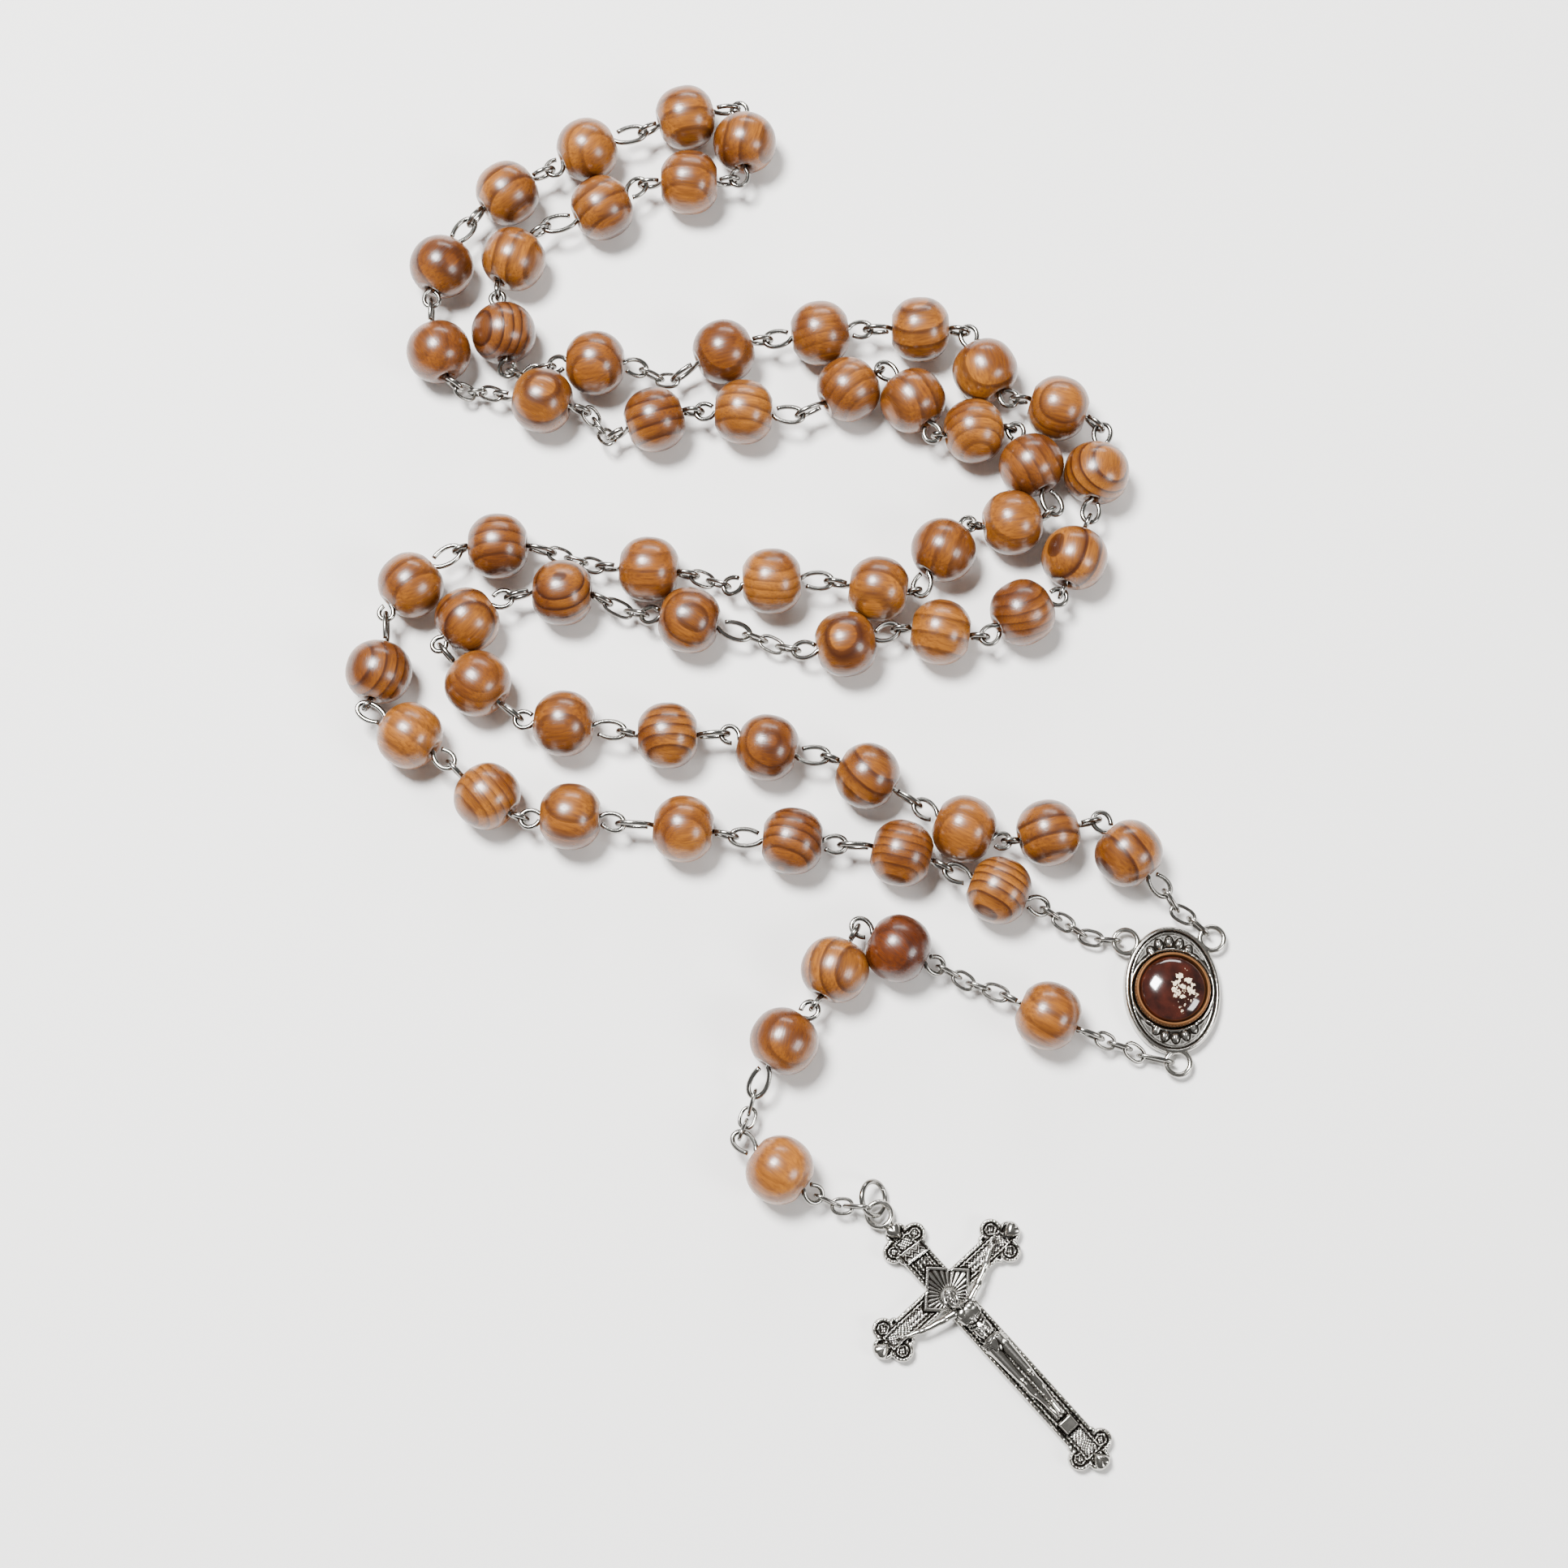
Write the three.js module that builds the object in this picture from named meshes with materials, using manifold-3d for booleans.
// A five-decade rosary laid out flat in a double S: wooden beads on steel wire pins, short
// lengths of oval-link chain, a cast centre medal with a domed inlay, and a cast crucifix.
// Millimetres, +Z up.  The back of the medal, the back of the crucifix and the undersides of
// the beads all lie on Z = 0, and the origin is the middle of the laid-out rosary's box.

import * as THREE from "three";
import { mergeVertices } from "three/addons/utils/BufferGeometryUtils.js";
import Module from "manifold-3d";

const manifold = await Module();
manifold.setup();

// ---------------------------------------------------------------- driving dimensions

const beadDiameter = 8;
const beadLength = 7; // along the bore
const beadFace = 3.4; // diameter of the flat round the bore's mouth
const beadSides = 8;
const boreDiameter = 1.8;

const pinWire = 0.6; // wire of the eye pins
const eyeWidth = 2.9; // across the outside of an eye
const eyeNeck = 0.3; // bare wire between a loose bead and its eye
const eyeBite = 0.4; // how deep an eye starts inside a bead that is one solid with its pin
const chainWire = 0.45;
const chainLinkWidth = 2.2;
const freeReach = 0.42; // from the point where two rings meet to the middle of either one's wire
const fusedReach = 0.12; // the same where the two rings are one solid

const jumpRingDiameter = 4.6;
const jumpRingWire = 0.65;
const jumpRingTilt = 45; // degrees
const jumpRingPlace = new THREE.Vector3(10.4, -54.6, 2);

const castLoopDiameter = 3.5;
const castLoopWire = 0.65;
const castLoopHeight = 1.35; // height of the cast loops above the back of either casting

const medalWidth = 11.4;
const medalHeight = 15.3;
const medalThickness = 1.8;
const medalBevel = 0.5;
const medalLoops = [[-5.15, 6], [5.15, 6], [0.1, -8.7]];
const recessDepth = 0.6;
const fitGap = 0.3; // between separate pieces that sit against each other
const bezelDiameter = 9;
const bezelWall = 0.5;
const bezelHeight = 1.1;
const cabochonDiameter = bezelDiameter - 2 * (bezelWall + fitGap);
const cabochonHeight = 1.9;

const crossThickness = 1.5;
const postWidth = 3.5;
const armWidth = 3.1;
const postTop = 8.6; // end lobes' centres, measured from the crossing
const postFoot = 25.4;
const armReach = 9.8;
const lobeRadius = 1.35;
const sideLobeSpread = 2;
const sideLobeSetback = 1.35;
const heartRadius = 0.9;
const plateSide = 5.2;
const crossLoopReach = 11.6;

const finestStep = 0.04; // slivers thinner than this are merged into their neighbours

// Places of the two castings: where each one's own origin lies, and how far it is turned.
const medalPlace = { x: 46, y: -30, turn: 2 };
const crossPlace = { x: 18.8, y: -65, turn: 42 };
const centring = new THREE.Vector3(0.24, -0.47, 0); // puts the middle of the laid-out box at the origin

// ---------------------------------------------------------------- the route of the rosary
//
// Each strand is a list of lengths.  A length is named, starts where the one before it ends,
// and lists its stations in order: "bead" is the middle of a bead on its pin, and "link" is
// the point where two rings meet.  Two links with no bead between them span one chain oval.

const bead = (x, y) => ({ kind: "bead", at: new THREE.Vector3(x, y, beadDiameter / 2) });
const link = (x, y, z = beadDiameter / 2) => ({ kind: "link", at: new THREE.Vector3(x, y, z) });
const low = (x, y) => link(x, y, castLoopHeight); // beside a casting that lies on the table
const sag = (x, y) => link(x, y, 2.1); // in the middle of a chain length
const rise = (x, y) => link(x, y, 3); // where a chain hooks into the eye of a pin

const rightStrand = {
  start: low(50.2, -23.1),
  lengths: [
    ["medal_chain_right", link(48.5, -21.5, 1.6), sag(46.5, -20.5), rise(45.5, -18.5)],
    ["decade_5_pair_1", bead(41, -14), link(37.5, -9.5), bead(31.5, -11.5), link(26.5, -12.5)],
    ["decade_5_pair_2", bead(21.5, -11), link(16, -8), bead(10, -4.5), link(5, -2)],
    ["decade_5_pair_3", bead(-2, -1), link(-7, 1), bead(-14, 0.5), link(-19.5, 1)],
    ["decade_5_pair_4", bead(-26.5, 2), link(-32, 2.5), bead(-37, 7), link(-42, 11.5)],
    ["decade_5_pair_5", bead(-38.5, 15), link(-33.5, 18), bead(-27, 18.5), rise(-21.5, 17.5)],
    ["our_father_4_pin", sag(-19, 16.5), rise(-17, 16), bead(-11.5, 15), rise(-4.5, 13.5)],
    ["decade_4_chain", sag(-2.5, 13), sag(-0.5, 12), rise(1.5, 11.5)],
    ["decade_4_pair_1", bead(7.5, 12), link(13.5, 14), bead(19, 13.5), link(24.5, 12.5)],
    ["decade_4_pair_2", bead(29, 16), link(34, 18), bead(35.5, 23), link(37.5, 28)],
    ["decade_4_pair_3", bead(38.5, 34), link(39.5, 40), bead(34, 42.5), link(28.5, 43.5)],
    ["decade_4_pair_4", bead(25, 47.5), link(23, 53), bead(17, 53), link(10.5, 53)],
    ["decade_4_pair_5", bead(4.5, 52.5), link(-2, 51.5), bead(-7.5, 50), rise(-13.5, 46.5)],
    ["our_father_3_pin", sag(-15.5, 47), rise(-17.5, 48), bead(-23.5, 48.5), rise(-29, 48.5)],
    ["decade_3_chain_right", sag(-31, 48.5), sag(-32.5, 47), rise(-34.5, 47.5)],
    ["decade_3_pair_1", bead(-35, 52.5), link(-36, 57.5), bead(-34, 62.5), link(-30, 67)],
    ["decade_3_pair_2", bead(-23, 69.5), link(-18, 73), bead(-12, 73), link(-6, 73)],
    ["decade_3_tip", bead(-5, 78.5), link(-6, 83.5), bead(-12.5, 82), link(-18, 80)],
  ],
};

const leftStrand = {
  start: low(39.6, -24.1),
  lengths: [
    ["medal_chain_left",
      low(37.5, -24), low(35.5, -23.5), sag(34, -22.5), sag(32.5, -21.5), rise(31, -20.5)],
    ["decade_1_pair_1", bead(25.5, -18.5), link(19.5, -16), bead(14, -14), link(7, -13)],
    ["decade_1_pair_2", bead(1, -12.5), link(-6, -12), bead(-12, -11), link(-19.5, -10.5)],
    ["decade_1_pair_3", bead(-25.5, -9.5), link(-31, -10), bead(-35.5, -7), link(-40, -3)],
    ["decade_1_pair_4", bead(-45, 0.5), link(-51, 4), bead(-49, 8.5), link(-48.5, 15.5)],
    ["decade_1_pair_5", bead(-45.5, 19.5), link(-40, 24), bead(-35, 24.5), rise(-28.5, 24)],
    ["our_father_1_pin",
      sag(-26.5, 23.5), sag(-24.5, 23), rise(-22.5, 22), bead(-16.5, 21.5), rise(-11, 21)],
    ["decade_2_chain", sag(-9, 20.5), rise(-7, 19.5)],
    ["decade_2_pair_1", bead(-1.5, 20), link(5.5, 20), bead(11.5, 19), link(16.5, 18.5)],
    ["decade_2_pair_2", bead(19.5, 24), link(23, 27.5), bead(28, 27.5), link(33.5, 29)],
    ["decade_2_pair_3", bead(30.5, 35), link(28.5, 40), bead(23.5, 39.5), link(18.5, 38.5)],
    ["decade_2_pair_4", bead(16, 43.5), link(12, 48), bead(8, 45), link(2, 41.5)],
    ["decade_2_pair_5", bead(-5, 42), link(-10.5, 42), bead(-16, 41), rise(-21.5, 38.5)],
    ["our_father_2_pin",
      sag(-22.5, 40), sag(-23.5, 41.5), rise(-24.5, 42.5), bead(-30, 43.5), rise(-35.5, 44.5)],
    ["decade_3_chain_left", sag(-37.5, 45.5), sag(-39, 45), rise(-40.5, 45.5)],
    ["decade_3_pair_3", bead(-43, 50), link(-44, 56.5), bead(-43, 61.5), link(-39.5, 67.5)],
    ["decade_3_pair_4", bead(-35, 71.5), link(-29.5, 74.5), bead(-25, 77.5), link(-18, 80)],
  ],
};

const pendant = {
  start: low(45.4, -38.6),
  lengths: [
    ["pendant_chain_1", low(42, -38), sag(40.5, -37), sag(38.5, -36.5), rise(37, -36)],
    ["pendant_our_father_1_pin", bead(31, -33.5), rise(26, -31)],
    ["pendant_chain_2", sag(24, -30), sag(22, -29.5), sag(20.5, -28.5), rise(18.5, -27.5)],
    ["pendant_hail_mary_1_pin", bead(13.5, -25.5), link(8.5, -22.5)],
    ["pendant_hail_mary_2_pin", bead(6, -28), link(3.5, -32.5)],
    ["pendant_hail_mary_3_pin", bead(0, -36.5), rise(-3.5, -42.5)],
    ["pendant_chain_3", sag(-4, -44.5), sag(-4.5, -46), rise(-5.5, -47.5)],
    ["pendant_our_father_2_pin", bead(-0.5, -51.5), rise(4, -54.5)],
    ["pendant_chain_4", sag(6, -55.5), sag(7.5, -55.5), link(9.5, -55.7, 3.2)],
  ],
};

// ---------------------------------------------------------------- finishes

function finish(color, roughness, metalness) {
  return new THREE.MeshStandardMaterial({ color, roughness, metalness });
}

const oliveWood = finish(0xb9793b, 0.4, 0);
const steelWire = finish(0x9a9894, 0.3, 1);
const castSilver = finish(0xb8b5ae, 0.35, 1);
const gilt = finish(0xc7a468, 0.3, 1);
const redStone = finish(0x45190f, 0.15, 0);

// ---------------------------------------------------------------- solids

// Turns a closed geometry into a solid that can be joined and cut.
function solid(geometry) {
  const bare = geometry.clone();
  bare.deleteAttribute("normal");
  bare.deleteAttribute("uv");
  const merged = mergeVertices(bare, 1e-5);
  return new manifold.Manifold(
    new manifold.Mesh({
      numProp: 3,
      vertProperties: new Float32Array(merged.attributes.position.array),
      triVerts: new Uint32Array(merged.index.array),
    }),
  );
}

const join = (solids) => solids.reduce((whole, next) => whole.add(next));

function namedMesh(name, body, material) {
  const { vertProperties, triVerts } = body.simplify(finestStep).getMesh();
  const geometry = new THREE.BufferGeometry();
  geometry.setAttribute("position", new THREE.BufferAttribute(vertProperties, 3));
  geometry.setIndex(new THREE.BufferAttribute(triVerts, 1));
  geometry.computeVertexNormals();
  const mesh = new THREE.Mesh(geometry, material);
  mesh.name = name;
  return mesh;
}

// An oval ring of round wire, centred on the origin in the XY plane, its length along X.
function ovalRing(length, width, wire, steps = 6) {
  const geometry = new THREE.TorusGeometry(1, wire / 2, 4, steps);
  const reachX = (length - wire) / 2 - 1;
  const reachY = (width - wire) / 2 - 1;
  const position = geometry.attributes.position;
  for (let i = 0; i < position.count; i += 1) {
    const angle = Math.atan2(position.getY(i), position.getX(i));
    position.setX(i, position.getX(i) + reachX * Math.cos(angle));
    position.setY(i, position.getY(i) + reachY * Math.sin(angle));
  }
  return geometry;
}

// A ring whose wire's far ends are at the points a and b.  A standing ring is turned edge up.
function ringBetween(a, b, width, wire, standing) {
  const along = b.clone().sub(a);
  const length = along.length() + wire;
  along.normalize();
  const side = new THREE.Vector3(0, 0, 1).cross(along).normalize();
  const up = along.clone().cross(side);
  const across = standing ? up : side;
  const normal = along.clone().cross(across);
  const place = new THREE.Matrix4().makeBasis(along, across, normal);
  place.setPosition(a.clone().lerp(b, 0.5));
  return solid(ovalRing(length, width, wire).applyMatrix4(place));
}

// ---------------------------------------------------------------- beads, pins and chain

const beadOutline = [
  [beadFace / 2, -beadLength / 2],
  [beadDiameter / 2, -beadLength / 6],
  [beadDiameter / 2, beadLength / 6],
  [beadFace / 2, beadLength / 2],
].map(([r, z]) => new THREE.Vector2(r, z));

// The lathe's bore is brought onto X.  A bead with no bore is one solid with its pin.
function beadSolid(innerRadius) {
  const mouth = beadLength / 2;
  const ends = [new THREE.Vector2(innerRadius, mouth), new THREE.Vector2(innerRadius, -mouth)];
  const outline = innerRadius > 0
    ? [...beadOutline, ...ends, beadOutline[0]]
    : [ends[1], ...beadOutline, ends[0]];
  return solid(new THREE.LatheGeometry(outline, beadSides).rotateZ(Math.PI / 2));
}

const plainBead = beadSolid(0);
const boredBead = beadSolid(boreDiameter / 2);

// Moves a solid made along X to a bead's place and heading.
function lay(body, { at, heading }) {
  const degrees = THREE.MathUtils.radToDeg(Math.atan2(heading.y, heading.x));
  return body.rotate([0, 0, degrees]).translate([at.x, at.y, at.z]);
}

function shank(station) {
  const length = beadLength + 2 * (eyeNeck + pinWire / 2);
  const wire = new THREE.CylinderGeometry(pinWire / 2, pinWire / 2, length, 6).rotateZ(Math.PI / 2);
  return lay(solid(wire), station);
}

const isLoose = (name) => name.endsWith("_pin"); // a bead that spins is kept apart from its pin

// Lists the rings of a strand in order.  A chain oval runs from link to link, and an eye from
// the mouth of a bead's bore to a link.  Where two rings meet one lies flat and the other
// stands on edge, so the turn alternates at each link.
function listRings(strand) {
  const rings = [];
  let before = strand.start;
  let stands = true;
  strand.start.reach = freeReach;
  strand.lengths.forEach(([name, ...stations]) => {
    stations.forEach((station, index) => {
      if (station.kind === "bead") {
        const after = stations[index + 1];
        const start = beadLength / 2 + pinWire / 2 + (isLoose(name) ? eyeNeck : -eyeBite);
        station.heading = after.at.clone().sub(before.at).setZ(0).normalize();
        const mouth = (direction) => station.at.clone().addScaledVector(station.heading, direction * start);
        rings.push({ name, from: mouth(-1), link: before, wire: pinWire, width: eyeWidth, stands });
        rings.push({ name, from: mouth(1), link: after, wire: pinWire, width: eyeWidth, stands });
      } else {
        station.reach = index === stations.length - 1 ? freeReach : fusedReach;
        if (before.kind === "link") {
          const size = { wire: chainWire, width: chainLinkWidth, stands };
          rings.push({ name, fromLink: before, link: station, ...size });
        }
        stands = !stands;
      }
      before = station;
    });
  });
  return rings;
}

const between = (from, to) => to.clone().sub(from).normalize();

// A flat ring's wire passes each of its links by the link's reach.
function layFlatRing(ring) {
  const start = ring.fromLink ? ring.fromLink.at : ring.from;
  const outward = between(start, ring.link.at);
  ring.link.flatOut = outward;
  ring.b = ring.link.at.clone().addScaledVector(outward, ring.link.reach);
  ring.a = start.clone();
  if (ring.fromLink) {
    ring.fromLink.flatOut = outward.clone().negate();
    ring.a.addScaledVector(outward, -ring.fromLink.reach);
  }
}

// A standing ring's ends sit in line with the flat rings that they hook into.
function layStandingRing(ring) {
  const start = ring.fromLink ? ring.fromLink.at : ring.from;
  const outward = between(start, ring.link.at);
  const hook = (link, ownOutward) => {
    const flatOut = link.flatOut || ownOutward.clone().negate();
    return link.at.clone().addScaledVector(flatOut, -link.reach);
  };
  ring.a = ring.fromLink ? hook(ring.fromLink, outward.clone().negate()) : start.clone();
  ring.b = hook(ring.link, outward);
}

function buildStrand(strand) {
  const rings = listRings(strand);
  rings.filter((ring) => !ring.stands).forEach(layFlatRing);
  rings.filter((ring) => ring.stands).forEach(layStandingRing);
  return strand.lengths.flatMap(([name, ...stations]) => {
    const ownRings = rings.filter((ring) => ring.name === name);
    const wires = ownRings.map(({ a, b, width, wire, stands }) => ringBetween(a, b, width, wire, stands));
    const beads = stations.filter((station) => station.kind === "bead");
    if (!isLoose(name)) {
      const body = join([...wires, ...beads.map((station) => lay(plainBead, station))]);
      return [namedMesh(name, body, beads.length > 0 ? oliveWood : steelWire)];
    }
    const pin = join([...wires, ...beads.map(shank)]);
    const [station] = beads;
    return [
      namedMesh(name, pin, steelWire),
      namedMesh(name.replace("_pin", "_bead"), lay(boredBead, station), oliveWood),
    ];
  });
}

function jumpRing() {
  const ring = ovalRing(jumpRingDiameter, jumpRingDiameter, jumpRingWire, 12);
  const tilted = ring.rotateY(THREE.MathUtils.degToRad(jumpRingTilt));
  const { x, y, z } = jumpRingPlace;
  return namedMesh("jump_ring", solid(tilted.translate(x, y, z)), steelWire);
}

// ---------------------------------------------------------------- shared shapes of the castings

function castLoop(x, y) {
  const loop = ovalRing(castLoopDiameter, castLoopDiameter, castLoopWire, 12);
  return solid(loop).translate([x, y, castLoopHeight]);
}

const block = (width, depth, height) => solid(new THREE.BoxGeometry(width, depth, height));

function disc(radius, height, sides = 16) {
  return solid(new THREE.CylinderGeometry(radius, radius, height, sides).rotateX(Math.PI / 2));
}

// A round bar that tapers from one point to another.
function taperedBar(from, to, startRadius, endRadius, sides = 8) {
  const start = new THREE.Vector3(...from);
  const along = new THREE.Vector3(...to).sub(start);
  const bar = new THREE.CylinderGeometry(endRadius, startRadius, along.length(), sides);
  const upright = new THREE.Vector3(0, 1, 0);
  const turn = new THREE.Quaternion().setFromUnitVectors(upright, along.clone().normalize());
  bar.applyQuaternion(turn);
  bar.translate(...start.addScaledVector(along, 0.5).toArray());
  return solid(bar);
}

function ball(x, y, z, radius) {
  return solid(new THREE.SphereGeometry(radius, 10, 6)).translate([x, y, z]);
}

function placed(mesh, place) {
  mesh.position.set(place.x, place.y, 0);
  mesh.rotation.z = THREE.MathUtils.degToRad(place.turn);
  return mesh;
}

// ---------------------------------------------------------------- the centre medal

function medalCasting() {
  const outline = new THREE.Shape();
  outline.absellipse(0, 0, medalWidth / 2 - medalBevel, medalHeight / 2 - medalBevel, 0, 2 * Math.PI);
  const plate = new THREE.ExtrudeGeometry(outline, {
    depth: medalThickness - medalBevel,
    curveSegments: 14,
    bevelSize: medalBevel,
    bevelThickness: medalBevel,
    bevelSegments: 2,
  });
  // The bevel is kept on the front only: the back is cut flat through the widest outline.
  const belowBack = block(2 * medalWidth, 2 * medalHeight, 2).translate([0, 0, -1]);
  const seatDepth = 2 * recessDepth;
  const seat = disc(bezelDiameter / 2 + fitGap, seatDepth, 24).translate([0, 0, medalThickness]);
  const body = solid(plate).subtract(belowBack).subtract(seat);
  const loops = medalLoops.map(([x, y]) => castLoop(x, y));
  return namedMesh("medal_casting", join([body, ...loops]), castSilver);
}

const seatFloor = medalThickness - recessDepth + fitGap;

function medalBezel() {
  const outer = bezelDiameter / 2;
  const inner = outer - bezelWall;
  const outline = [
    [inner, 0],
    [outer, 0],
    [outer, bezelHeight * 0.7],
    [inner + 0.1, bezelHeight],
    [inner, bezelHeight],
    [inner, 0],
  ].map(([r, z]) => new THREE.Vector2(r, z));
  const ring = new THREE.LatheGeometry(outline, 24).rotateX(Math.PI / 2);
  return namedMesh("medal_bezel", solid(ring).translate([0, 0, seatFloor]), gilt);
}

function medalCabochon() {
  const girdle = 0.5; // upright edge under the dome
  const steps = 5;
  const outline = [new THREE.Vector2(0, 0), new THREE.Vector2(cabochonDiameter / 2, 0)];
  for (let i = 0; i <= steps; i += 1) {
    const angle = (i / steps) * (Math.PI / 2);
    const r = i === steps ? 0 : (cabochonDiameter / 2) * Math.cos(angle);
    outline.push(new THREE.Vector2(r, girdle + (cabochonHeight - girdle) * Math.sin(angle)));
  }
  const dome = new THREE.LatheGeometry(outline, 24).rotateX(Math.PI / 2);
  return namedMesh("medal_cabochon", solid(dome).translate([0, 0, seatFloor]), redStone);
}

// ---------------------------------------------------------------- the crucifix

// The four ends: each has an end lobe, two side lobes and a raised heart.
const crossEnds = [
  { angle: 90, reach: postTop },
  { angle: -90, reach: postFoot },
  { angle: 0, reach: armReach },
  { angle: 180, reach: armReach },
];

function crossEnd({ angle, reach }) {
  const lobe = disc(lobeRadius, crossThickness).translate([0, 0, crossThickness / 2]);
  const setback = reach - sideLobeSetback;
  const heart = ball(reach - 0.3, 0, crossThickness, heartRadius);
  const whole = join([
    lobe.translate([reach, 0, 0]),
    lobe.translate([setback, sideLobeSpread - 0.5, 0]),
    lobe.translate([setback, 0.5 - sideLobeSpread, 0]),
    heart,
  ]);
  return whole.rotate([0, 0, angle]);
}

function crossPlate() {
  const middle = crossThickness / 2;
  const post = block(postWidth, postTop + postFoot, crossThickness);
  const arms = block(2 * armReach, armWidth, crossThickness);
  const plate = block(plateSide, plateSide, crossThickness + 0.5).rotate([0, 0, 45]);
  return join([
    post.translate([0, (postTop - postFoot) / 2, middle]),
    arms.translate([0, 0, middle]),
    plate.translate([0, 0, middle + 0.25]),
    ...crossEnds.map(crossEnd),
  ]);
}

// The figure is kept plain here: a rounded head, trunk, cloth and limbs on the cross.
function figure() {
  const top = crossThickness;
  return join([
    ball(-0.3, -0.7, top + 1.1, 1),
    taperedBar([0, -2, top + 0.3], [0, -7.5, top + 0.3], 1.5, 1),
    taperedBar([0, -6.8, top + 0.2], [0, -9.6, top + 0.2], 1.3, 1.45),
    taperedBar([-0.6, -9.2, top + 0.2], [-0.35, -18.8, top + 0.1], 0.75, 0.4, 6),
    taperedBar([0.6, -9.2, top + 0.2], [0.35, -18.8, top + 0.1], 0.75, 0.4, 6),
    taperedBar([-1, -2.4, top + 0.3], [-7.6, 0, top + 0.1], 0.65, 0.35, 6),
    taperedBar([1, -2.4, top + 0.3], [7.6, 0, top + 0.1], 0.65, 0.35, 6),
    block(1.6, 1.5, 0.9).translate([0, -20, top]),
  ]);
}

function crucifix() {
  const body = join([crossPlate(), figure(), castLoop(0, crossLoopReach)]);
  return namedMesh("crucifix", body, castSilver);
}

// ---------------------------------------------------------------- assembly

const rosary = new THREE.Group();
rosary.add(...buildStrand(rightStrand));
rosary.add(...buildStrand(leftStrand));
rosary.add(...buildStrand(pendant));
rosary.add(jumpRing());
rosary.add(placed(crucifix(), crossPlace));
rosary.add(...[medalCasting(), medalBezel(), medalCabochon()].map((mesh) => placed(mesh, medalPlace)));

rosary.children.forEach((mesh) => mesh.position.add(centring));

export default rosary;
